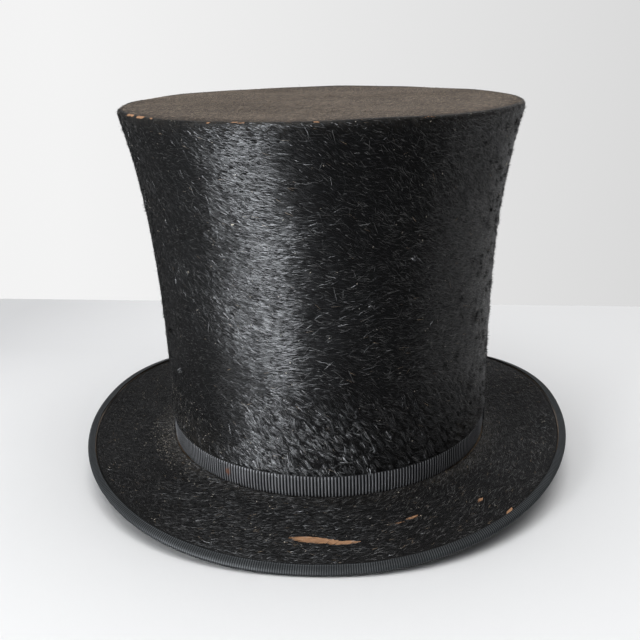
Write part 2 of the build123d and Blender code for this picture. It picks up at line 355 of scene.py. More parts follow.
class Paint:
    """A material with its nodes, made from short calls. Every call returns a socket."""

    def __init__(self, name, **constants):
        self.material = bpy.data.materials.new(name)
        self.material.use_nodes = True
        self.tree = self.material.node_tree
        self.shader = self.tree.nodes["Principled BSDF"]
        for key, value in constants.items():
            self.shader.inputs[key.replace("_", " ")].default_value = value

    def node(self, kind, out=0, inputs=(), **settings):
        return add_node(self.tree, kind, out, inputs, **settings)

    def value(self, name):
        return self.node("Attribute", "Fac", attribute_name=name)

    def vector(self, name):
        return self.node("Attribute", "Vector", attribute_name=name)

    def place(self):
        return self.node("TexCoord", "Object")

    def noise(self, vector, scale, detail=3.0, rough=0.55, distort=0.0):
        inputs = {"Vector": vector, "Scale": scale, "Detail": detail, "Roughness": rough, "Distortion": distort}
        return self.node("TexNoise", "Fac", inputs)

    def fibres(self, vector, stretch, detail=2.0, rough=0.55, distort=0.0):
        """Noise drawn out by a different scale along each axis."""
        drawn = self.node("Mapping", inputs={"Vector": vector, "Scale": stretch})
        return self.noise(drawn, 1.0, detail, rough, distort)

    def waves(self, scale, distort, direction):
        inputs = {"Vector": self.place(), "Scale": scale, "Distortion": distort}
        return self.node("TexWave", "Fac", inputs, bands_direction=direction)

    def ramp(self, fac, stops):
        made = self.node("ValToRGB", "Color", {"Fac": fac})
        ramp = made.node.color_ramp
        for k, (at, colour) in enumerate(stops):
            stop = ramp.elements[k] if k < 2 else ramp.elements.new(at)
            stop.position = at
            stop.color = (*colour, 1) if isinstance(colour, tuple) else (colour, colour, colour, 1)
        return made

    def mix(self, fac, a, b):
        a, b = ((*c, 1) if isinstance(c, tuple) else c for c in (a, b))
        return self.node("Mix", 2, {0: fac, 6: a, 7: b}, data_type="RGBA")

    def math(self, kind, a, b=0.0):
        return self.node("Math", 0, {0: a, 1: b}, operation=kind)

    def bump(self, height, strength, distance):
        return self.node("Bump", "Normal", {"Height": height, "Strength": strength, "Distance": distance})

    def finish(self, **sockets):
        """Links sockets to the shader and returns the finished material."""
        for key, socket in sockets.items():
            self.tree.links.new(socket, self.shader.inputs[key.replace("_", " ")])
        return self.material


def plush_paint():
    """The short black nap. lie holds the way along and across the brushed hairs; bare and dust are masks."""
    p = Paint("black_plush_nap", Roughness=0.5, Specular_IOR_Level=0.07)
    lie, place = p.vector("lie"), p.place()
    fibres = p.fibres(lie, (420, 3600, 1), 3.0, 0.6, 0.35)
    strands = p.fibres(lie, (180, 1300, 1), 2.0, 0.5, 0.6)
    patches = p.noise(place, 38, 3.0)
    colour = p.mix(patches, (0.0018, 0.0018, 0.0023), (0.0048, 0.0044, 0.0040))
    colour = p.mix(p.ramp(fibres, [(0.5, 0.0), (0.75, 1.0)]), colour, (0.010, 0.010, 0.011))
    grime = p.math("MULTIPLY", p.value("dust"), p.ramp(p.noise(place, 520, 3.0), [(0.35, 0.1), (0.7, 1.0)]))
    colour = p.mix(grime, colour, (0.085, 0.075, 0.062))
    tan = p.mix(p.noise(place, 700, 3.0), (0.27, 0.14, 0.072), (0.52, 0.30, 0.172))
    bare = p.math("ADD", p.value("bare"), p.math("MULTIPLY", p.noise(place, 1400, 2.0), 0.5))
    colour = p.mix(p.ramp(bare, [(0.62, 0.0), (0.82, 1.0)]), colour, tan)
    rough = p.node("MapRange", 0, span(p.value("bare"), 0, 1, 0.5, 0.85))
    height = p.math("ADD", fibres, p.math("MULTIPLY", strands, 1.5))
    return p.finish(Base_Color=colour, Roughness=rough, Normal=p.bump(height, 1.0, 0.14 * MM))


def tip_paint():
    """The crown's flat top: the nap is worn to a dusty brown felt."""
    p = Paint("worn_tip_nap", Roughness=0.85, Specular_IOR_Level=0.12)
    place = p.place()
    fibres = p.fibres(place, (1900, 700, 900), 4.0, 0.65, 0.8)
    blotches = p.noise(place, 26, 3.0)
    colour = p.mix(p.ramp(blotches, [(0.35, 0.0), (0.65, 1.0)]), (0.100, 0.077, 0.059), (0.190, 0.149, 0.116))
    colour = p.mix(p.ramp(fibres, [(0.40, 0.0), (0.68, 1.0)]), p.mix(0.62, colour, (0.02, 0.018, 0.016)), colour)
    colour = p.mix(p.value("dark"), colour, (0.012, 0.012, 0.013))
    tan = p.mix(p.noise(place, 900, 3.0), (0.24, 0.14, 0.09), (0.45, 0.29, 0.2))
    bare = p.math("ADD", p.value("bare"), p.math("MULTIPLY", p.noise(place, 1200, 2.0), 0.5))
    colour = p.mix(p.ramp(bare, [(0.6, 0.0), (0.85, 1.0)]), colour, tan)
    return p.finish(Base_Color=colour, Normal=p.bump(fibres, 0.6, 0.15 * MM))


def ribbon_paint(name, dark, light, rough=0.45):
    """Ribbed ribbon with a painted highlight: its rib crests are painted lighter than its own colour. rib is 1 on the
    ribs' crests; weave holds the way along and across the ribbon.
    """
    p = Paint(name, Roughness=rough, Sheen_Weight=0.04, Sheen_Roughness=0.35)
    weave, place = p.vector("weave"), p.place()
    threads = p.fibres(weave, (2600, 5200, 1))
    # Painted highlight on the rib crests: crest mixes the ribbon's dark colour towards the light one, and worn scales
    # that painted highlight by a noise from 0.6 to 1.
    crest_highlight_noise = p.noise(place, 60, 3.0)
    worn = p.ramp(crest_highlight_noise, [(0.3, 0.6), (0.7, 1.0)])
    crest = p.math("MULTIPLY", p.ramp(p.value("rib"), [(0.38, 0.0), (0.9, 1.0)]), worn)
    colour = p.mix(crest, dark, light)
    colour = p.mix(p.math("MULTIPLY", threads, 0.4), colour, dark)
    colour = p.mix(p.value("stain"), colour, (0.22, 0.075, 0.03))
    shine = p.ramp(crest, [(0.0, 0.08), (1.0, 0.42)])
    return p.finish(Base_Color=colour, Specular_IOR_Level=shine, Normal=p.bump(threads, 0.45, 0.06 * MM))


def leather_paint():
    """Old brown leather: grain, creases and darker blots."""
    p = Paint("sweatband_leather", Roughness=0.5, Specular_IOR_Level=0.5, Coat_Weight=0.08, Coat_Roughness=0.35)
    place = p.place()
    grain = p.node("TexVoronoi", "Distance", {"Vector": place, "Scale": 1500}, feature="DISTANCE_TO_EDGE")
    creases = p.fibres(place, (220, 220, 60), 4.0, 0.6)
    blots = p.noise(place, 34, 4.0, 0.6)
    colour = p.ramp(blots, [(0.3, (0.085, 0.038, 0.018)), (0.5, (0.20, 0.098, 0.048)), (0.72, (0.30, 0.165, 0.088))])
    colour = p.mix(p.value("dark"), colour, (0.05, 0.024, 0.013))
    height = p.math("ADD", p.ramp(grain, [(0.0, 0.0), (0.12, 1.0)]), p.math("MULTIPLY", creases, 1.6))
    rough = p.ramp(blots, [(0.3, 0.38), (0.7, 0.6)])
    return p.finish(Base_Color=colour, Roughness=rough, Normal=p.bump(height, 0.5, 0.08 * MM))


def silk_paint(name, dark, light, stain):
    """Plain silk with age stains. weave holds the way along and across the cloth."""
    p = Paint(name, Roughness=0.38, Specular_IOR_Level=0.5, Sheen_Weight=0.3, Sheen_Roughness=0.3)
    weave, place = p.vector("weave"), p.place()
    warp = p.fibres(weave, (3600, 240, 1))
    weft = p.fibres(weave, (300, 4200, 1))
    age = p.noise(place, 22, 4.0, 0.6)
    colour = p.mix(p.math("MULTIPLY", warp, weft), dark, light)
    colour = p.mix(p.ramp(age, [(0.5, 0.0), (0.72, 0.75)]), colour, stain)
    height = p.math("ADD", warp, weft)
    return p.finish(Base_Color=colour, Normal=p.bump(height, 0.4, 0.05 * MM))


def twill_paint():
    """Fine cloth under the brim, with slanting ribs."""
    p = Paint("brim_twill", Roughness=0.7, Specular_IOR_Level=0.35, Sheen_Weight=0.3, Sheen_Roughness=0.4)
    place = p.place()
    ribs = p.waves(420.0, 1.2, "DIAGONAL")
    fuzz = p.noise(place, 2400, 3.0)
    age = p.noise(place, 30, 4.0)
    colour = p.mix(p.math("MULTIPLY", ribs, fuzz), (0.010, 0.010, 0.012), (0.040, 0.039, 0.042))
    colour = p.mix(p.ramp(age, [(0.45, 0.0), (0.8, 0.6)]), colour, (0.05, 0.042, 0.034))
    height = p.math("ADD", ribs, p.math("MULTIPLY", fuzz, 0.7))
    return p.finish(Base_Color=colour, Normal=p.bump(height, 0.5, 0.08 * MM))


def board_paint(name, dark, light):
    """Cloth stiffened with old brown varnish: a plain weave under a thin gloss."""
    p = Paint(name, Roughness=0.5, Specular_IOR_Level=0.5, Coat_Weight=0.3, Coat_Roughness=0.25)
    weave = p.math("MULTIPLY", p.waves(300.0, 0.8, "Z"), p.waves(300.0, 0.8, "X"))
    colour = p.mix(p.math("ADD", weave, p.noise(p.place(), 40, 3.0)), dark, light)
    return p.finish(Base_Color=colour, Normal=p.bump(weave, 0.5, 0.1 * MM))


def thread_paint(name, dark, light, rough=0.6):
    """Twisted thread or cord."""
    p = Paint(name, Roughness=rough, Specular_IOR_Level=0.4, Sheen_Weight=0.2)
    twist = p.waves(1400.0, 2.0, "DIAGONAL")
    colour = p.mix(p.math("MULTIPLY", twist, p.noise(p.place(), 300, 2.0)), dark, light)
    return p.finish(Base_Color=colour, Normal=p.bump(twist, 0.6, 0.05 * MM))


def hair_paints(tones):
    """A material for each tone of hair. The tones are scattered hair by hair."""
    return [Paint(name, Base_Color=(*colour, 1), Roughness=rough, Specular_IOR_Level=specular).material
            for name, (colour, rough, specular) in tones.items()]


# -------- the nap's lie and wear

# Worn places: angle and share of the way out on the brim, half length along the brim and half width, in mm,
# and a slant that lifts one end
BRIM_BARE = [
    (-88.8, 0.635, 13.5, 2.1, -0.10),
    (-83.0, 0.668, 11.0, 1.3, -0.05),
    (-65.5, 0.472, 4.2, 0.9, 0.25),
    (-68.5, 0.50, 3.4, 0.45, 0.15),
    (-48.0, 0.59, 2.2, 1.2, 0.4),
    (-46.8, 0.905, 3.0, 1.0, 0.3),
]
# Worn places on the crown's upper rim: angle, half length in mm, strength
RIM_BARE = [(-137, 18, 1.7), (-110.5, 4.0, 0.9), (-104, 5.0, 0.9), (-84, 24.0, 0.95), (-60, 7.0, 0.5),
            (35, 10.0, 0.8), (120, 12.0, 0.7), (165, 8.0, 0.8)]

# The larger flecks of lint on the crown: angle, and height and size in mm
LARGE_LINT = [(-109.5, 127, 1.5), (-161, 122, 1.6), (-117, 146, 0.7), (-100, 88, 0.6), (-120, 70, 0.5),
              (-19, 142, 1.6)]


def brim_bare(angle, share):
    """How bare the brim's nap is, from 0 to 1."""
    total = np.zeros(np.shape(angle))
    wide = brim_width(np.asarray(angle))
    for middle, out, length, width, slant in BRIM_BARE:
        reach = np.hypot(*brim(np.array(radians(middle)), np.array(out))[:2])
        u = np.radians(away_from(angle, middle)) * reach / (length * MM)
        v = ((share - out) * wide / MM + slant * u * length * 0.5) / width
        lens = np.abs(v) / np.maximum(1 - u * u, 0.02) ** 0.8
        total = np.maximum(total, (1 - smooth(0.75, 1.15, lens)) * (np.abs(u) < 1))
    return total


def rim_bare(angle, height):
    """How bare the nap is along the crown's upper rim."""
    total = np.zeros(np.shape(angle))
    for middle, length, strength in RIM_BARE:
        off = away_from(angle, middle) * 1.95 / length
        total = np.maximum(total, strength * (1 - smooth(0.4, 1.0, np.abs(off))))
    p = crown(angle, height)
    ragged = layered(p, 2.6 * MM, 71)
    broken = smooth(-0.30, 0.20, layered(p, 4.5 * MM, 73))
    level = height + 0.9 * MM * ragged
    line = smooth(CROWN - 1.4 * MM, CROWN - 0.9 * MM, level) * (1 - 0.8 * smooth(CROWN - 0.5 * MM, CROWN, level))
    return 0.85 * total * broken * line


def rough_region(angle, height):
    """Where the crown's nap stands in tufts rather than lying sleek, from 0 to 1."""
    front = around(angle, -64, 64) * (1 - smooth(30 * MM, 66 * MM, height))
    left = around(angle, -128, 26) * 0.4 * (1 - smooth(14 * MM, 40 * MM, height))
    right = around(angle, -12, 46) * 0.28
    back = around(angle, 80, 90) * 0.3
    return np.clip(np.maximum.reduce([front, left, right, back]), 0, 1)


def tuft_field(angle, height):
    """The crown's tufts: depth inside each, the way each leans, and how far its middle is along and up."""
    p = crown(angle, height)
    arc = angle * TUFT_RADIUS
    c, s = cos(TUFT_SLANT), sin(TUFT_SLANT)
    along = arc * c + height * s + 3.0 * MM * layered(p, 9 * MM, 11)
    across = height * c - arc * s + 2.6 * MM * layered(p, 8 * MM, 15)
    depth, pick, to_u, to_v = tufts(along / TUFT_LONG, across / TUFT_WIDE, 21)
    to_along, to_across = TUFT_LONG * to_u, TUFT_WIDE * to_v
    lean = TUFT_SLANT + (pick - 0.5) * 1.5
    return depth, lean, to_along * c - to_across * s, to_along * s + to_across * c


def crown_lie(angle, height):
    """The angle above level at which the crown's nap lies, brushed round the crown with loose swirls."""
    p = crown(angle, height)
    swirl = 30 * noise(p, 52 * MM, 3) + 24 * noise(p, 21 * MM, 4) + 20 * noise(p, 8 * MM, 5)
    sleek = around(angle, -104, 34)
    return np.radians(-8 + swirl * (1 - 0.55 * sleek) - 18 * around(angle, -62, 40))


def crown_bulk(angle, height):
    """How far the crown's nap stands out from the level of its ribbon."""
    p = crown(angle, height)
    rough = rough_region(angle, height)
    depth = tuft_field(angle, height)[0]
    soft = 0.13 * layered(p, 6 * MM, 31) + 0.08 * noise(p, 1.9 * MM, 35)
    out = -0.30 + soft + rough * (0.30 * smooth(0.0, 0.8, depth) - 0.42) + 0.3 * noise(p, 60 * MM, 41)
    out = out + 0.42 * around(angle, 0, 66) * layered(p, 3.6 * MM, 37)
    under_band = smooth(BAND + 0.2 * MM, BAND + 2.6 * MM, height)
    swell = 0.35 * (1 - smooth(0, 1, np.abs(height - BAND - 2.6 * MM) / (3 * MM)))
    return (-0.78 + (out + swell + 0.78) * under_band) * MM


def crown_nap(angle, height):
    """Points on the crown's nap. Above the rim the surface turns inwards on a soft corner."""
    corner = 2.4 * MM
    over = np.maximum(height - (CROWN - corner), 0) / corner
    turn = np.minimum(over, 1) * pi / 2
    dip = -0.5 * MM * around(angle, -142, 60) + 0.5 * MM * noise(crown(angle, height), 30 * MM, 51)
    level = np.minimum(height, CROWN - corner) + corner * np.sin(turn) * (over > 0)
    out = crown_bulk(angle, height) - corner * (1 - np.cos(turn)) + 0.25 * MM
    return crown(angle, level + dip * smooth(0.86 * CROWN, CROWN, height), out)


def brim_bulk(angle, share):
    """How high the brim's nap stands above the brim's middle."""
    p = brim(angle, share)
    wide = brim_width(np.asarray(angle))
    near_edge = smooth(-0.3 * MM, 1.6 * MM, (1 - share) * wide - BINDING)
    near_crown = 1 - smooth(0, 5 * MM, share * wide)
    soft = 0.16 * layered(p, 7 * MM, 61) + 0.10 * noise(p, 2.1 * MM, 65) + 0.25 * noise(p, 40 * MM, 67)
    out = 1.55 + soft - 0.34 * brim_bare(angle, share) + 0.5 * near_crown
    return (1.1 + (out - 1.1) * near_edge) * MM


def brim_lie(angle, share):
    """The angle at which the brim's nap lies, from the way round towards the way out."""
    p = brim(angle, share)
    swirl = 30 * noise(p, 45 * MM, 6) + 22 * noise(p, 17 * MM, 7) + 14 * noise(p, 7 * MM, 8)
    return np.radians(-14 + swirl)


def brim_nap(angle, share):
    """Points on the brim's nap."""
    return brim(angle, share, brim_bulk(angle, share))


def dust_near_crown(angle, share):
    """Dust in the corner between the brim and the crown, thickest at the sides."""
    wide = brim_width(np.asarray(angle))
    sides = 0.35 + 0.65 * np.maximum(around(angle, -160, 45), 0.8 * around(angle, -20, 40))
    return sides * (1 - smooth(1 * MM, 13 * MM, share * wide))


# -------- nap pieces


def seamed(cols):
    """Even angles round the hat, from the seam at its back."""
    return SEAM + TURN * np.arange(cols) / cols


def build_crown_nap(paint):
    """The closed skin of plush on the crown's side, under its hairs."""
    cols, steps = ((720, 128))
    angle = seamed(cols)
    arc = (angle - SEAM) * CROWN_RADIUS
    low, corner = 0.35 * MM, 3 * MM
    dusty = np.maximum(around(angle, -150, 38), 0.8 * around(angle, -10, 40))
    rows, lie, bare, dust = [], [], [], []

    def add(points, h):
        rows.append(points)
        bow = 5 * MM * noise(crown(angle, h), 30 * MM, 14)
        lie.append(np.stack([arc, h + bow, 0 * arc], -1))
        bare.append(rim_bare(angle, h))
        low_dust = (1 - smooth(BAND, BAND + 22 * MM, h)) * dusty
        rim = smooth(CROWN - 9 * MM, CROWN, h) * 0.35
        dust.append(np.clip(low_dust * 0.8 + rim + 0.03, 0, 1))

    for h in (*np.linspace(low, CROWN - corner, steps - 10), *np.linspace(CROWN - corner, CROWN, 11)[1:]):
        add(crown_nap(angle, h), h)
    for h in (CROWN - 1.2 * MM, CROWN * 0.66, CROWN * 0.33, low):
        add(crown(angle, h, -1.72 * MM), h)
    ring_piece("crown_side_nap", rows, paint, ["side_plush"],
               {"lie": lie, "bare": bare, "dust": dust})


def tip_surface(x, y):
    """How high the flat tip stands at a place in plan. It is a little hollow."""
    z = BASE + CROWN + tip_slope(x, y)
    out = np.hypot((x - LEAN) / TIP_W, y / TIP_L)
    dish = -0.55 * MM * (1 - smooth(0.55, 0.98, out)) + 0.18 * MM * layered(np.stack([x, y, 0 * x], -1), 26 * MM, 81)
    return z + dish


def build_tip_nap(paint):
    """The closed skin of worn plush on the crown's flat top."""
    cols, count = ((540, 84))
    angle = seamed(cols)
    rim = crown_nap(angle, CROWN - 1e-6)
    rings, dark, bare = [], [], []
    for share in np.linspace(0.02, 1, count):
        s = share**0.8
        x = LEAN + (rim[:, 0] - LEAN) * s
        y = rim[:, 1] * s
        z = tip_surface(x, y)
        edge = smooth(0.93, 1.0, s)
        z = z + (rim[:, 2] - 0.1 * MM - z) * edge
        fuzz = 0.07 * MM * noise(np.stack([x, y, z], -1), 1.6 * MM, 83) * (1 - edge)
        rings.append(np.stack([x, y, z + fuzz], -1))
        patch = 0.5 + 0.5 * layered(np.stack([x, y, 0 * x], -1), 30 * MM, 85)
        dark.append(np.clip(smooth(0.90, 1.0, s + 0.03 * patch) * 0.3 + 0.15 * patch, 0, 1))
        bare.append(rim_bare(angle, CROWN) * smooth(0.96, 0.99, s))
    floor = CROWN - 1.0 * MM
    flat = crown(angle, floor, -1.8 * MM)
    for share in (0.985, 0.6, 0.2):
        x = LEAN + (flat[:, 0] - LEAN) * share
        y = flat[:, 1] * share
        rings.append(np.stack([x, y, BASE + floor + tip_slope(x, y)], -1))
        dark.append(np.zeros(cols))
        bare.append(np.zeros(cols))
    middle = np.array([LEAN, 0.0, float(tip_surface(np.array(LEAN), np.array(0.0)))])
    under = np.array([LEAN, 0.0, BASE + floor])
    disc_piece("crown_tip_nap", rings, middle, under, paint, ["tip_plush"],
               {"dark": dark, "bare": bare})


def build_brim_nap(paint):
    """The closed skin of plush on the brim's upper face."""
    cols, steps = ((840, 66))
    angle = seamed(cols)
    wide = brim_width(angle)
    inner = 0.012
    outer = 1 - (BINDING - 0.6 * MM) / wide
    rows, lie, bare, dust = [], [], [], []

    def add(k, level=None):
        share = inner + (outer - inner) * k
        rows.append(brim(angle, share, brim_bulk(angle, share) if level is None else level))
        bow = 5 * MM * noise(brim(angle, share), 30 * MM, 15)
        lie.append(np.stack([(angle - SEAM) * BRIM_RADIUS, share * wide + bow, 0 * share], -1))
        bare.append(brim_bare(angle, share))
        dust.append(np.clip(dust_near_crown(angle, share) + 0.06, 0, 1))

    for k in np.linspace(1, 0, steps):
        add(k)
    for k in (0, 0.5, 1):
        add(k, CORE_HALF + GLUE)
    ring_piece("brim_upper_nap", rows, paint, ["brim_top_plush"],
               {"lie": lie, "bare": bare, "dust": dust})


# -------- ribbons


def ribbed_ring(name, section, steps, count, per_rib, ribs, paint, node, stain=None):
    """A ribbed ribbon in a ring. section(angle, k) gives points round its section, for each k in steps from 0 to 1,
    and the ways out. ribs says from which k to which k the ribs go, and their height."""
    cols = count * per_rib
    angle = seamed(cols)
    arc = (angle - SEAM) * RIBBON_RADIUS
    rib = 0.5 + 0.5 * np.cos(TURN * (np.arange(cols) % per_rib) / per_rib)
    first, last, depth = ribs
    rows, weave, crest, marks = [], [], [], []
    for k in steps:
        points, out = section(angle, k)
        ribbed = first <= k <= last
        uneven = 0.8 + 0.2 * noise(points, 3 * MM, 91)
        rows.append(points + out * ((rib - 1) * (depth if ribbed else 0.0) * uneven)[:, None])
        weave.append(np.stack([arc, np.full(cols, k * 0.012), 0 * arc], -1))
        crest.append(rib if ribbed else np.full(cols, 0.45))
        marks.append(stain(points) if stain else np.zeros(cols))
    ring_piece(name, rows, paint, [node], {"weave": weave, "rib": crest, "stain": marks})


def band_section(angle, k):
    """The crown's ribbon: k from 0 to 0.85 goes up its outer face, and on down its inner face."""
    if k <= 0.85:
        t = k / 0.85
        height = GLUE + (BAND - GLUE) * t
        edge = min(t, 1 - t)
        out = -0.05 * MM - 0.4 * MM * (1 - min(edge / 0.05, 1)) + 0.25 * MM * sin(pi * t)
        lean = 0.12 * MM * noise(crown(angle, height), 24 * MM, 93)
        height = height + 0.25 * MM * noise(crown(angle, 0), 40 * MM, 94) * t
        points = crown(angle, height, out + lean)
    else:
        t = (k - 0.85) / 0.15
        points = crown(angle, BAND - 0.2 * MM - (BAND - GLUE - 0.4 * MM) * t, -0.58 * MM)
    return points, unit(crown(angle, BAND / 2, 1 * MM) - crown(angle, BAND / 2))


def band_stain(points):
    """One rusty spot on the crown's ribbon."""
    spot = crown(np.array(radians(-119.3)), np.array(6 * MM))
    far = np.linalg.norm(points - spot, axis=-1)
    return 0.8 * (1 - smooth(0.5 * MM, 2.2 * MM, far + 0.7 * MM * noise(points, 1 * MM, 95)))


def binding_section(angle, k):
    """The brim's edge ribbon: k from 0 to 0.72 goes from its lower edge round to its upper one, then back inside."""
    wide = brim_width(angle)
    half, outer_share = BINDING_HALF, 0.72

    def walk(t, edge, thick, width):
        """How far back from the edge and how high a share of the fold's outline lies."""
        flat = width - edge - thick
        s = t * (2 * flat + pi * thick)
        if s < flat:
            return width - s, -thick
        if s > flat + pi * thick:
            return edge + thick + (s - flat - pi * thick), thick
        roll = (s - flat) / thick
        return edge + thick * (1 - sin(roll)), -thick * cos(roll)

    ragged = 0.25 * MM * noise(brim(angle, 1.0), 14 * MM, 97)
    if k <= outer_share:
        even, level = walk(k / outer_share, 0.0, half, BINDING)
        inner = smooth(2.4 * MM, BINDING, even)
        back = even + ragged * inner
        if level > 0:
            level = level + 0.28 * MM * inner - 0.55 * MM * (1 - smooth(0.3 * MM, 3.2 * MM, even))
            back = back - 0.9 * MM * smooth(3 * MM, BINDING, even)
    else:
        back, level = walk(1 - (k - outer_share) / (1 - outer_share), 0.6 * MM, half - 0.6 * MM, BINDING - 0.1 * MM)
        back = back + ragged * smooth(2.4 * MM, BINDING, back)
    points = brim(angle, 1 - back / wide, level)
    return points, unit(points - brim(angle, 1 - half / wide))


def strip_piece(name, centre, axis, half_width, thick, paint, slot, nodes=(), ribs=0.0, face=1):
    """A closed ribbon along a path of centres, wide along an axis. face is -1 to turn its ribbed face round."""
    count, wide = len(centre), 9
    across = np.tile(np.array(axis, float), (count, 1))
    out = unit(np.cross(across, np.gradient(centre, axis=0))) * face
    v = np.linspace(-1, 1, wide)
    half_width = np.broadcast_to(half_width, count)
    rib = 0.5 + 0.5 * np.cos(TURN * np.arange(count) / 4)
    lift = (rib - 1) * ribs
    front = centre[:, None] + across[:, None] * (v[None, :, None] * half_width[:, None, None])
    front = front + out[:, None] * (thick / 2 + lift[:, None] * (np.abs(v) < 0.9)[None, :])[..., None]
    rear = centre[:, None] + across[:, None] * (v[None, ::-1, None] * half_width[:, None, None])
    rear = rear - out[:, None] * (thick / 2)
    loops = np.concatenate([front, rear], 1)
    cols = 2 * wide
    body = wrap_faces(count, cols, close_rows=False)
    caps = []
    for row, turn in ((0, 1), (count - 1, -1)):
        start = row * cols
        for j in range(wide - 1):
            quad = [start + j, start + cols - 1 - j, start + cols - 2 - j, start + j + 1]
            caps.append(quad[::turn])
    arc = np.concatenate([[0], np.cumsum(np.linalg.norm(np.diff(centre, axis=0), axis=1))])
    weave = np.stack([np.repeat(arc, cols), np.tile(np.concatenate([v, v[::-1]]), count) * 5 * MM,
                      np.zeros(count * cols)], -1)
    crest = np.repeat(rib if ribs else np.full(count, 0.4), cols)
    return new_piece(name, loops.reshape(-1, 3), [body, np.array(caps)], [paint], nodes,
                     {"weave": weave, "rib": crest, "stain": np.zeros(count * cols)})


def join(name, pieces, node):
    """Joins pieces into the first, which takes the name and stands for a CAD node."""
    for p in bpy.context.selected_objects:
        p.select_set(False)
    for p in pieces:
        p.select_set(True)
    bpy.context.view_layer.objects.active = pieces[0]
    bpy.ops.object.join()
    pieces[0].name = name
    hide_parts(node)


def loop_path(surface, middle, sign, length, rise_in, rise_out, count):
    """A flat ribbon loop: out along a surface, round the end, and back to the middle above itself."""
    t = np.linspace(0, 1, count)
    out_leg, turn = 0.46, 0.08
    along = np.where(t < out_leg, t / out_leg, np.where(t < out_leg + turn, 1, (1 - t) / (1 - out_leg - turn)))
    level = rise_in + (rise_out - rise_in) * smooth(out_leg - 0.02, out_leg + turn + 0.02, t)
    puff = 0.35 * MM * np.sin(pi * np.clip(along, 0, 1)) * (t > 0.5)
    bulge = 0.9 * MM * np.exp(-(((t - out_leg - turn / 2) / (turn * 0.7)) ** 2))
    return surface(middle + sign * (along * length + bulge), level + puff)


def bow_loops(name, node, surface, along, middle, half, rises, widths, count, **strip):
    """A bow's two loops. widths are the half width at the middle, what it gains, both in mm, and where it is full."""
    made = []
    narrow, gain, full = widths
    for sign in (1, -1):
        centre = loop_path(surface, middle, sign, half, *rises, count)
        share = np.abs(centre[:, along] - middle) / half
        width = (narrow + gain * smooth(0.05, full, share)) * MM
        made.append(strip_piece(f"{name}_{len(made)}", centre, (0, 0, sign), width, **strip))
    join(name, made, node)


def build_band_bow(paint):
    """The flat bow on the wearer's left: two loops and the short ribbon across them."""
    lo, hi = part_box("band_bow_loops")
    middle, half = (lo.y + hi.y) / 2, (hi.y - lo.y) / 2 - 1.2 * MM
    look = {"paint": paint, "slot": "ribbed_ribbon", "ribs": 0.12 * MM}

    def on_side(y, out):
        return crown(np.arcsin(np.clip(y / BASE_L, -1, 1)), BAND / 2, out)

    bow_loops("band_bow_ribbon", "band_bow_loops", on_side, 1, middle, half, (0.45 * MM, 1.35 * MM),
              (3.7, 1.25, 0.55), 90, thick=0.4 * MM, **look)
    t = np.linspace(-0.5, 0.5, 44)
    side = crown(np.arcsin(middle / BASE_L), BAND / 2 + t * (BAND - 0.6 * MM),
                 (1.95 - 1.2 * np.abs(2 * t) ** 4) * MM)
    strip_piece("band_bow_keeper_ribbon", side, (0, 1, 0), 3.4 * MM, 0.45 * MM, nodes=["band_bow_keeper"], **look)


# -------- inside and underside


def build_inner_bow(paint):
    """The sweatband's small bow, at the back of the hat's inside."""
    lo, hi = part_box("inner_bow_loops")
    height, half = (lo.z + hi.z) / 2 - BASE, (hi.x - lo.x) / 2 - 0.6 * MM
    look = {"paint": paint, "slot": "narrow_ribbon"}

    def inside(x, out):
        return crown(pi / 2 - np.arcsin(np.clip(x / BASE_W, -1, 1)), height, -5.95 * MM - out)

    bow_loops("sweatband_bow_loops", "inner_bow_loops", inside, 0, 0.0, half, (0.2 * MM, 1.0 * MM),
              (1.7, 1.5, 0.6), 60, thick=0.22 * MM, face=-1, **look)
    t = np.linspace(-0.5, 0.5, 30)
    knot = crown(pi / 2, height + t * 6 * MM, (-7.7 + 0.9 * np.abs(2 * t) ** 4) * MM)
    strip_piece("sweatband_bow_knot", knot, (1, 0, 0), 2.2 * MM, 0.4 * MM, nodes=["inner_bow_knot"], **look)
    tails = []
    top, end = height - 2.6 * MM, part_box("inner_bow_tails")[0].z - BASE + 0.6 * MM
    t = np.linspace(0, 1, 40)
    for sign in (1, -1):
        angle = pi / 2 - sign * np.arcsin((1.6 + 3.2 * t) * MM / BASE_W)
        centre = crown(angle, top + (end - top) * t, (-6.6 + 0.35 * np.sin(5 * t)) * MM)
        tails.append(strip_piece(f"bow_tail_{len(tails)}", centre, (1, 0, 0), 1.9 * MM, 0.2 * MM, **look))
    join("sweatband_bow_tails", tails, "inner_bow_tails")


def build_sweatband(paint):
    """The leather band: its face, with a pressed line near the top, and its back."""
    cols = 560
    angle = seamed(cols)
    low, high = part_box("sweatband")[0].z - BASE, 44.4 * MM
    p = crown(angle, 0)
    wave = (0.5 * noise(p, 26 * MM, 101) + 0.2 * noise(p, 9 * MM, 102)) * MM
    rows, dark = [], []

    def add(t, out, shade):
        rows.append(crown(angle, low + (high - low) * t + 0.5 * wave * t, out - 4.95 * MM))
        dark.append(shade)

    for t in np.linspace(1, 0, 22):
        line = 0.25 * MM if 0.80 < t < 0.84 else 0.0
        ends = 0.25 * (t > 0.8) + 0.6 * (1 - smooth(0, 0.1, t))
        shade = ends + 0.5 * np.abs(np.sin(angle)) * smooth(0.2, 0.8, t)
        add(t, line - 0.72 * MM + 0.5 * wave * smooth(0.1, 1, t), np.clip(shade, 0, 1))
    for t in (0.0, 0.5, 1.0):
        add(t, 0.05 * MM * (1 - t), np.full(cols, 0.6))
    piece = ring_piece("sweatband_leather_strip", rows, paint, ["sweatband"], {"dark": dark})


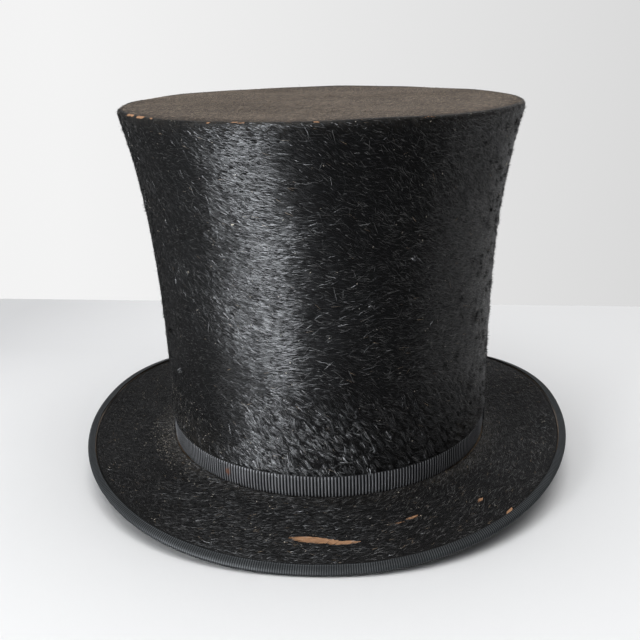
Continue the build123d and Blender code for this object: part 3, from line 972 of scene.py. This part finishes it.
def build_side_lining(paint):
    """The gathered silk of the crown's side: its face, and its back with shallower folds."""
    cols = 960
    angle = seamed(cols)
    low, high = 30 * MM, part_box("side_lining")[1].z - BASE - RISE_BACK
    pleats = 0.5 + 0.5 * np.sin(angle * 120 + 2.4 * noise(crown(angle, 0), 16 * MM, 111))
    rows, weave = [], []
    for out, share, steps in ((-4.75 * MM, 1.0, np.linspace(1, 0, 34)), (-4.45 * MM, 0.8, np.linspace(0, 1, 8))):
        for t in steps:
            height = low + (high - low) * t
            soft = 0.5 + 0.5 * noise(crown(angle, height), 18 * MM, 113)
            fold = 1.1 * MM * (0.25 + 0.75 * abs(2 * t - 1) ** 1.5) * pleats * (0.5 + 0.5 * soft)
            rows.append(crown(angle, height, out - fold * share))
            weave.append(np.stack([(angle - SEAM) * CROWN_RADIUS, np.full(cols, height), 0 * angle], -1))
    side = ring_piece("side_lining_silk", rows, paint, ["side_lining"], {"weave": weave})


def build_tip_lining(paint):
    """The flat silk of the crown's tip, puckered along its edge."""
    angle = seamed(360)
    lo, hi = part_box("tip_lining")
    level = (lo.z + hi.z) / 2 - 0.6 * MM
    rings, weave = [], []
    for way, drop in ((1, 0.0), (-1, 0.3 * MM)):
        for s in np.linspace(0.04, 1, 26)[::way]:
            x = LEAN + (TIP_W - 4.9 * MM) * s * np.cos(angle) * 0.985
            y = (TIP_L - 4.9 * MM) * s * np.sin(angle) * 0.985
            p = np.stack([x, y, 0 * x], -1)
            pucker = 0.35 * MM * smooth(0.7, 1, s) * np.sin(angle * 70 + 3 * noise(p, 20 * MM, 115))
            sag = 0.3 * MM * noise(p, 34 * MM, 117) - 0.6 * MM * (1 - s * s)
            rings.append(np.stack([x, y, level + tip_slope(x, y) + sag + pucker - drop], -1))
            weave.append(p)
    tip = disc_piece("tip_lining_silk", rings, rings[0].mean(0), rings[-1].mean(0), paint,
                     ["tip_lining"], {"weave": weave})


def build_under_cloth(paint):
    """The thin cloth on the brim's lower face."""
    angle = seamed(560)
    inner, outer = -0.045, 1 - (BINDING - 0.4 * MM) / brim_width(angle)
    rows = []
    for k in np.linspace(0, 1, 30):
        share = inner + (outer - inner) * k
        uneven = 0.05 * MM * noise(brim(angle, share), 12 * MM, 121)
        rows.append(brim(angle, share, 0.05 * MM + uneven - BRIM_FACE))
    for k in (1, 0.5, 0):
        rows.append(brim(angle, inner + (outer - inner) * k, -CORE_HALF - GLUE))
    ring_piece("brim_lower_cloth", rows, paint, ["brim_under_cloth"])


# -------- hairs


def comb(along, up, normal, tilt, lift):
    """The way hairs point: tilted from along towards up, and lifted off the surface."""
    flat = along * np.cos(tilt)[:, None] + up * np.sin(tilt)[:, None]
    return unit(flat * np.cos(lift)[:, None] + normal * np.sin(lift)[:, None])


def tones(rng, count, greys, tans):
    """Which material each hair takes: black, dark grey, grey or tan."""
    pick = rng.random(count)
    tone = np.where(pick > 0.55, DARK, BLACK)
    tone = np.where(pick > 1 - greys, GREY, tone)
    return np.where(pick > 1 - tans, TAN, tone)


def hair_piece(name, hairs, tone, paints):
    """A piece of nap from closed hairs and the number of each one's tone."""
    points, faces, per_hair = hairs
    new_piece(name, points, [faces], paints, choice=np.repeat(tone, per_hair))


def crown_hairs(rng, paints, sector, start, end, count):
    """The crown's nap in one sector of angles. Where it is rough the hairs of each tuft draw together."""
    angle = rng.uniform(start, end, count)
    height = BAND - 0.4 * MM + (CROWN - BAND) * rng.random(count)
    keep = rng.random(count) > 1.2 * rim_bare(angle, height)
    angle, height = angle[keep], height[keep]
    n = len(angle)
    p, along, up, normal = axes_of(crown_nap, angle, np.minimum(height, CROWN - 0.6 * MM))
    rough = rough_region(angle, height)
    shaggy = np.maximum(rough, 0.5 * (1 - around(angle, -106, 44)))
    depth, lean, to_arc, to_up = tuft_field(angle, height)
    tilt = crown_lie(angle, height) + rng.normal(0, 0.22, n) * (1 + 1.8 * shaggy)
    lift = 0.05 + np.abs(rng.normal(0, 0.05, n)) + shaggy * 0.2 * rng.random(n)
    length = rng.uniform(1.8, 4.2, n) * MM
    gather = smooth(0.15, 0.75, rough) * rng.uniform(0.0, 0.5, n)
    reach = 3.4 * MM
    tilt = tilt + (lean - tilt) * smooth(0.1, 0.6, rough) * rng.uniform(0.2, 1.0, n)
    ahead = (to_arc + reach * np.cos(lean)) * gather + length * np.cos(tilt) * (1 - gather)
    rise = (to_up + reach * np.sin(lean)) * gather + length * np.sin(tilt) * (1 - gather)
    tilt = np.arctan2(rise, ahead)
    length = np.where(gather > 0.3, np.clip(np.hypot(ahead, rise), 1.6 * MM, 5.5 * MM), length)
    lift = lift + rough * smooth(0.1, 0.6, depth) * rng.uniform(0.0, 0.42, n)
    turned = away_from(angle, -90) - 8 * (height / CROWN - 0.5)
    dull = 0.93 * smooth(-26, -34, turned) * (1 - 0.5 * smooth(-60, -75, turned))
    dull = np.maximum(dull, 0.8 * smooth(-9, 1, turned) * (1 - smooth(22, 42, turned)))
    side = around(angle, 0, 60)
    stray = rng.random(n) < 0.025 + 0.07 * shaggy + 0.10 * side
    lift = np.where(stray, rng.uniform(0.12, 0.5, n) + 0.2 * side, lift)
    length = length * np.where(stray, 0.6, 1) * (1 - 0.45 * smooth(CROWN - 8 * MM, CROWN, height))
    length = length * (1 - 0.35 * smooth(BAND + 3 * MM, BAND, height))
    width = rng.uniform(0.12, 0.26, n) * MM
    length = length * (1 - 0.55 * rough * (1 - smooth(0.05, 0.4, depth)))
    way = comb(along, up, normal, tilt, lift)
    roll = rng.normal(0, 0.30 + 0.25 * shaggy, n)[:, None]
    flat = unit(normal + roll * np.cross(way, normal))
    tone = tones(rng, n, 0.025 + 0.045 * shaggy + 0.05 * side, 0.0015)
    tone = np.where(stray & (rng.random(n) < 0.55), GREY, tone)
    tone = np.where((tone < GREY) & (rng.random(n) < dull * (1 - 0.5 * rough)), DULL, tone)
    hairs = spikes(p - normal * 0.03 * MM, way, flat, length, width, -0.01)
    hair_piece(f"crown_nap_hairs_{sector}", hairs, tone, paints)


def brim_hairs(rng, paints, sector, start, end, count):
    """The brim's nap in one sector of angles, shorter along the bound edge and dustier near the crown."""
    angle = rng.uniform(start, end, count)
    wide = brim_width(angle)
    share = 0.02 + (1 - BINDING / wide - 0.02) * rng.random(count) ** 0.9
    keep = rng.random(count) > 1.3 * brim_bare(angle, share)
    angle, share = angle[keep], share[keep]
    n = len(angle)
    p, along, out, normal = brim_axes(angle, share)
    tilt = brim_lie(angle, share) + rng.normal(0, 0.34, n)
    lift = 0.05 + np.abs(rng.normal(0, 0.06, n))
    stray = rng.random(n) < 0.05
    lift = np.where(stray, rng.uniform(0.12, 0.45, n), lift)
    room = (1 - share) * brim_width(angle) - BINDING
    length = rng.uniform(1.6, 3.4, n) * MM * (0.5 + 0.5 * smooth(0, 3 * MM, room))
    width = rng.uniform(0.13, 0.27, n) * MM
    way = comb(along, out, normal, tilt, lift)
    flat = unit(normal + 0.35 * rng.normal(0, 1, (n, 1)) * np.cross(way, normal))
    tone = tones(rng, n, 0.05 + 0.25 * dust_near_crown(angle, share), 0.004)
    tone = np.where(stray & (rng.random(n) < 0.55), GREY, tone)
    hairs = spikes(p - normal * 0.03 * MM, way, flat, length, width, -0.01)
    hair_piece(f"brim_nap_hairs_{sector}", hairs, tone, paints)


def tip_hairs(rng, paints, count):
    """Short worn hairs on the flat tip, set lower and darker along its edge."""
    turn = rng.uniform(0, TURN, count)
    out = np.sqrt(rng.random(count)) * 0.985
    x = LEAN + TIP_W * out * np.cos(turn)
    y = TIP_L * out * np.sin(turn)
    p = np.stack([x, y, tip_surface(x, y)], -1)
    normal = np.tile([0.0, 0.0, 1.0], (count, 1))
    heading = 0.3 + 1.2 * noise(p, 40 * MM, 131) + 0.7 * noise(p, 12 * MM, 132) + rng.normal(0, 0.8, count)
    lift = 0.06 + np.abs(rng.normal(0, 0.10, count))
    way = np.stack([np.cos(heading) * np.cos(lift), np.sin(heading) * np.cos(lift), np.sin(lift)], -1)
    length = rng.uniform(1.0, 2.6, count) * MM
    width = rng.uniform(0.14, 0.28, count) * MM
    edge = smooth(0.95, 1.0, out)
    p[:, 2] -= 0.03 * MM + 0.8 * MM * edge
    pick = rng.random(count)
    tone = np.where(pick < 0.30 + 0.4 * edge, DARK, np.where(pick < 0.9, GREY, TAN))
    hair_piece("tip_nap_hairs", spikes(p, way, normal, length, width, -0.02), tone, paints)


def wisps(rng, paints, count):
    """Longer loose hairs and lint on the crown, in short curves."""
    angle = rng.uniform(0, TURN, count)
    height = BAND + (CROWN - BAND) * rng.random(count) ** 0.8 - 1 * MM
    p, along, up, normal = axes_of(crown_nap, angle, np.minimum(height, CROWN - 1 * MM))
    tilt = crown_lie(angle, height) + rng.normal(0, 0.6, count)
    lift = rng.uniform(0.05, 0.35, count)
    way = comb(along, up, normal, tilt, lift)
    length = rng.uniform(2.5, 6.5, count) * MM
    width = rng.uniform(0.10, 0.2, count) * MM
    hairs = spikes(p, way, normal, length, width, rng.uniform(-0.35, 0.1, count), 4)
    tone = np.where(rng.random(count) < 0.45, GREY, BLACK)
    hair_piece("crown_loose_hairs", hairs, tone, paints)


def matted_tufts(rng, paints):
    """Small matted clumps that stand out from the crown's nap at its sides."""
    clumps, each = 380, 44
    middle = np.where(rng.random(clumps) < 0.75, rng.normal(-8, 17, clumps), rng.normal(-172, 13, clumps))
    level = BAND + 6 * MM + (CROWN - BAND - 10 * MM) * rng.random(clumps)
    n = clumps * each
    angle = np.repeat(np.radians(middle), each) + rng.normal(0, 0.009, n)
    height = np.repeat(level, each) + rng.normal(0, 0.85, n) * MM
    p, along, up, normal = axes_of(crown_nap, angle, height)
    tilt = np.repeat(rng.uniform(0, TURN, clumps), each) + rng.normal(0, 0.8, n)
    way = comb(along, up, normal, tilt, rng.uniform(0.2, 1.0, n))
    size = np.repeat(rng.uniform(0.6, 1.25, clumps), each)
    length = size * rng.uniform(1.2, 2.4, n) * MM
    width = rng.uniform(0.16, 0.28, n) * MM
    tone = np.where(rng.random(n) < 0.6, DULL, tones(rng, n, 0.10, 0.01))
    hairs = spikes(p - normal * 0.03 * MM, way, normal, length, width, -0.01)
    hair_piece("crown_matted_tufts", hairs, tone, paints)


def flecks(axes, turn, size):
    """Small curved slivers that lie on a surface."""
    p, along, up, normal = axes
    way = comb(along, up, normal, turn, np.full(len(p), 0.12))
    return spikes(p + normal * 0.15 * MM, way, normal, size * 1.3, size * 0.55, 0.05, 2)


def build_lint(rng, paints):
    """Flecks of pale lint and dust: a few large ones at listed places, and many small ones."""
    angle, height, size = np.array(LARGE_LINT).T * [[pi / 180], [MM], [MM]]
    more = 900
    near = rng.random(more) < 0.35
    extra = np.where(near, np.radians(rng.normal(-148, 14, more)), rng.uniform(-pi, pi, more))
    angle = np.concatenate([angle, extra])
    extra = np.where(near, BAND + rng.random(more) * 24 * MM, BAND + (CROWN - BAND) * rng.random(more))
    height = np.minimum(np.concatenate([height, extra]), CROWN - 1 * MM)
    size = np.concatenate([size, rng.uniform(0.2, 0.7, more) * MM])
    crown_points, crown_faces, per_fleck = flecks(
        axes_of(crown_nap, angle, height), rng.uniform(0, TURN, len(angle)), size)
    more = 700
    extra = rng.uniform(-pi, pi, more)
    near = rng.random(more) < 0.4
    extra = np.where(near, np.radians(rng.normal(-155, 12, more)), extra)
    share = np.where(near, 0.03 + 0.25 * rng.random(more), 0.03 + 0.85 * rng.random(more))
    brim_points, brim_faces, _ = flecks(
        brim_axes(extra, share), rng.uniform(0, TURN, more), rng.uniform(0.25, 0.7, more) * MM)
    points = np.concatenate([crown_points, brim_points])
    faces = np.concatenate([crown_faces, brim_faces + len(crown_points)])
    tone = (rng.random(len(angle) + more) < 0.4).astype(int)
    hair_piece("lint_flecks", (points, faces, per_fleck), tone, paints)


# -------- stage, lights and camera


def build_stage():
    """A pale floor with a painted shadow that makes it a little greyer behind the hat on the left. Outside the
    picture, near the camera and far to the sides, it turns dark, so that less light comes back onto the plush."""
    p = Paint("studio_table", Roughness=0.55, Specular_IOR_Level=0.25)
    colour = p.mix(p.noise(p.place(), 3.0, 2.0), (0.83, 0.83, 0.83), (0.87, 0.87, 0.87))
    across, depth = (p.node("SeparateXYZ", axis, {"Vector": p.place()}) for axis in (0, 1))
    near = p.node("MapRange", 0, span(depth, -0.21, -0.26))
    aside = p.node("MapRange", 0, span(p.math("ABSOLUTE", across), 0.38, 0.7, 0.0, 0.8))
    # Painted shadow: where left and back overlap, behind the hat on the left, the floor is painted grey.
    left = p.node("MapRange", 0, span(across, -0.07, -0.28))
    back = p.node("MapRange", 0, span(depth, -0.06, 0.14, 0.0, 0.9))
    colour = p.mix(p.math("MULTIPLY", left, back), colour, (0.60, 0.60, 0.605))
    colour = p.mix(p.math("MAXIMUM", near, aside), colour, (0.06, 0.06, 0.06))
    material = p.finish(Base_Color=colour)
    mesh = bpy.data.meshes.new("studio_table")
    near, far, side = -3.0, 0.285, 3.0
    mesh.from_pydata([(-side, near, 0), (side, near, 0), (side, far, 0), (-side, far, 0)], [], [(0, 1, 2, 3)])
    mesh.materials.append(material)
    table = bpy.data.objects.new("studio_table", mesh)
    bpy.context.scene.collection.objects.link(table)


def area_light(name, place, target, size, power, colour=(1, 1, 1), gloss_only=False):
    """A rectangular lamp aimed at a target. With gloss_only it shows in reflections alone."""
    lamp = bpy.data.lights.new(name, "AREA")
    lamp.shape = "RECTANGLE"
    lamp.size, lamp.size_y = size
    lamp.energy = power
    lamp.color = colour
    light = bpy.data.objects.new(name, lamp)
    light.location = place
    light.visible_diffuse = not gloss_only
    light.rotation_mode = "QUATERNION"
    light.rotation_quaternion = (Vector(place) - Vector(target)).to_track_quat("Z", "Y")
    bpy.context.scene.collection.objects.link(light)


def build_world():
    """Pale walls all round, darker on the camera's side, so that black plush keeps its depth. The camera sees an even
    wall instead."""
    world = bpy.data.worlds.new("studio")
    bpy.context.scene.world = world
    world.use_nodes = True
    tree = world.node_tree
    tree.nodes.clear()

    def node(kind, out=0, inputs=(), **settings):
        return add_node(tree, kind, out, inputs, **settings)

    way = node("TexCoord", "Generated")
    x, y, z = (node("SeparateXYZ", axis, {"Vector": way}) for axis in range(3))
    wall = node("MapRange", 0, span(x, -0.35, 0.3, 0.90, 0.69))
    seen = node("Background", 0, {"Color": (1, 1, 1, 1), "Strength": wall})
    back = node("MapRange", 0, span(y, -0.35, 0.35, 0.03, 0.55), interpolation_type="SMOOTHSTEP")
    up = node("MapRange", 0, span(z, 0.3, 0.9, 0.0, 0.2))
    level = node("Math", 0, {0: back, 1: up}, operation="ADD")
    lit = node("Background", 0, {"Color": (0.97, 0.98, 1, 1), "Strength": level})
    both = node("MixShader", 0, {0: node("LightPath", "Is Camera Ray"), 1: lit, 2: seen})
    out = tree.nodes.new("ShaderNodeOutputWorld")
    tree.links.new(both, out.inputs["Surface"])


def build_camera():
    """The camera, where the photographer stood."""
    data = bpy.data.cameras.new("camera")
    data.lens, data.sensor_width = 49.47, 36
    camera = bpy.data.objects.new("camera", data)
    pitch, yaw, roll = radians(90 - 15.41), radians(4.66), radians(-0.46)
    turn = Matrix.Rotation(yaw, 4, "Z") @ Matrix.Rotation(pitch, 4, "X") @ Matrix.Rotation(roll, 4, "Z")
    camera.matrix_world = Matrix.Translation((0.0325, -0.4597, 0.1901)) @ turn
    bpy.context.scene.collection.objects.link(camera)
    bpy.context.scene.camera = camera


# -------- all together


def dress_frame():
    """Materials for the CAD nodes that stay."""
    board = board_paint("shell_board_varnish", (0.045, 0.025, 0.012), (0.17, 0.105, 0.055))
    joining = board_paint("joining_cloth_varnish", (0.05, 0.03, 0.016), (0.15, 0.10, 0.06))
    dark = thread_paint("dark_stitch_thread", (0.008, 0.009, 0.010), (0.035, 0.04, 0.042))
    pale = thread_paint("pale_stitch_thread", (0.22, 0.16, 0.10), (0.55, 0.44, 0.30))
    reed = thread_paint("reed_cord_leather", (0.07, 0.035, 0.018), (0.22, 0.12, 0.065), 0.5)
    chosen = {"crown_side_shell": board, "crown_tip_shell": board, "brim_core": board,
              "crown_brim_collar": joining, "binding_stitches": dark, "sweatband_stitches": pale,
              "sweatband_reed": reed}
    for name, material in chosen.items():
        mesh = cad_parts[name].data
        mesh.materials.clear()
        mesh.materials.append(material)


def build_hairs():
    """All hairs and lint, from one run of random numbers."""
    rng = np.random.default_rng(7)
    share = 1.0
    paints = hair_paints(CROWN_TONES)
    for k in range(CROWN_SECTORS):
        start = -pi + TURN * k / CROWN_SECTORS
        crown_hairs(rng, paints, k, start, start + TURN / CROWN_SECTORS, int(CROWN_HAIRS * share))
    low = hair_paints(BRIM_TONES) + [paints[GREY], paints[TAN]]
    for k in range(BRIM_SECTORS):
        start, end = (-pi + TURN * edge / BRIM_SECTORS for edge in (k, k + 1))
        brim_hairs(rng, low, k, start, end, int(BRIM_HAIRS * share))
    tip_hairs(rng, [paints[BLACK], *hair_paints(TIP_TONES)], int(TIP_HAIRS * share))
    matted_tufts(rng, paints)
    wisps(rng, paints, int(LOOSE_HAIRS * share))
    build_lint(rng, hair_paints(LINT_TONES))


def build_hat():
    """All of the hat's pieces and their materials."""
    plush = plush_paint()
    build_crown_nap(plush)
    build_tip_nap(tip_paint())
    build_brim_nap(plush)
    # Each ribbed ribbon's second colour is the painted highlight on its rib crests; the first is its own colour.
    grosgrain = ribbon_paint("ribbed_band_ribbon", (0.0025, 0.0025, 0.003), (0.32, 0.326, 0.343), 0.55)
    edge = ribbon_paint("brim_edge_ribbon", (0.012, 0.0135, 0.015), (0.056, 0.063, 0.067), 0.55)
    band_steps = [0, 0.012, 0.025, *np.linspace(0.04, 0.81, 9), 0.825, 0.838, 0.85, 0.90, 0.95, 1.0]
    edge_steps = [*np.linspace(0, 0.72, 24), *np.linspace(0.72, 1, 8)[1:]]
    ribbed_ring("crown_band_ribbon", band_section, band_steps, 345, 6, (0.02, 0.83, 0.36 * MM), grosgrain,
                "hat_band", band_stain)
    ribbed_ring("brim_edge_binding", binding_section, edge_steps, 800, 3, (0.03, 0.70, 0.2 * MM), edge,
                "brim_binding")
    build_band_bow(grosgrain)
    build_sweatband(leather_paint())
    silk = silk_paint("cream_silk", (0.34, 0.27, 0.17), (0.62, 0.54, 0.40), (0.30, 0.19, 0.09))
    build_side_lining(silk)
    build_tip_lining(silk)
    build_under_cloth(twill_paint())
    build_inner_bow(ribbon_paint("narrow_bow_ribbon", (0.05, 0.036, 0.024), (0.16, 0.12, 0.085)))
    dress_frame()
    build_hairs()


build_hat()
build_stage()
build_world()
build_camera()
window, hat_middle = (-0.95, -1.20, 0.60), (0, 0, 0.09)
area_light("window", window, hat_middle, (0.5, 1.1), 12, (0.95, 0.975, 1.0))
area_light("window_sheen", window, hat_middle, (0.34, 1.1), 108, (0.90, 0.945, 1.0), gloss_only=True)
area_light("ceiling", (0.0, -0.15, 1.6), (0, 0, 0.1), (1.8, 1.8), 21)
bpy.context.scene.view_settings.view_transform = "Standard"
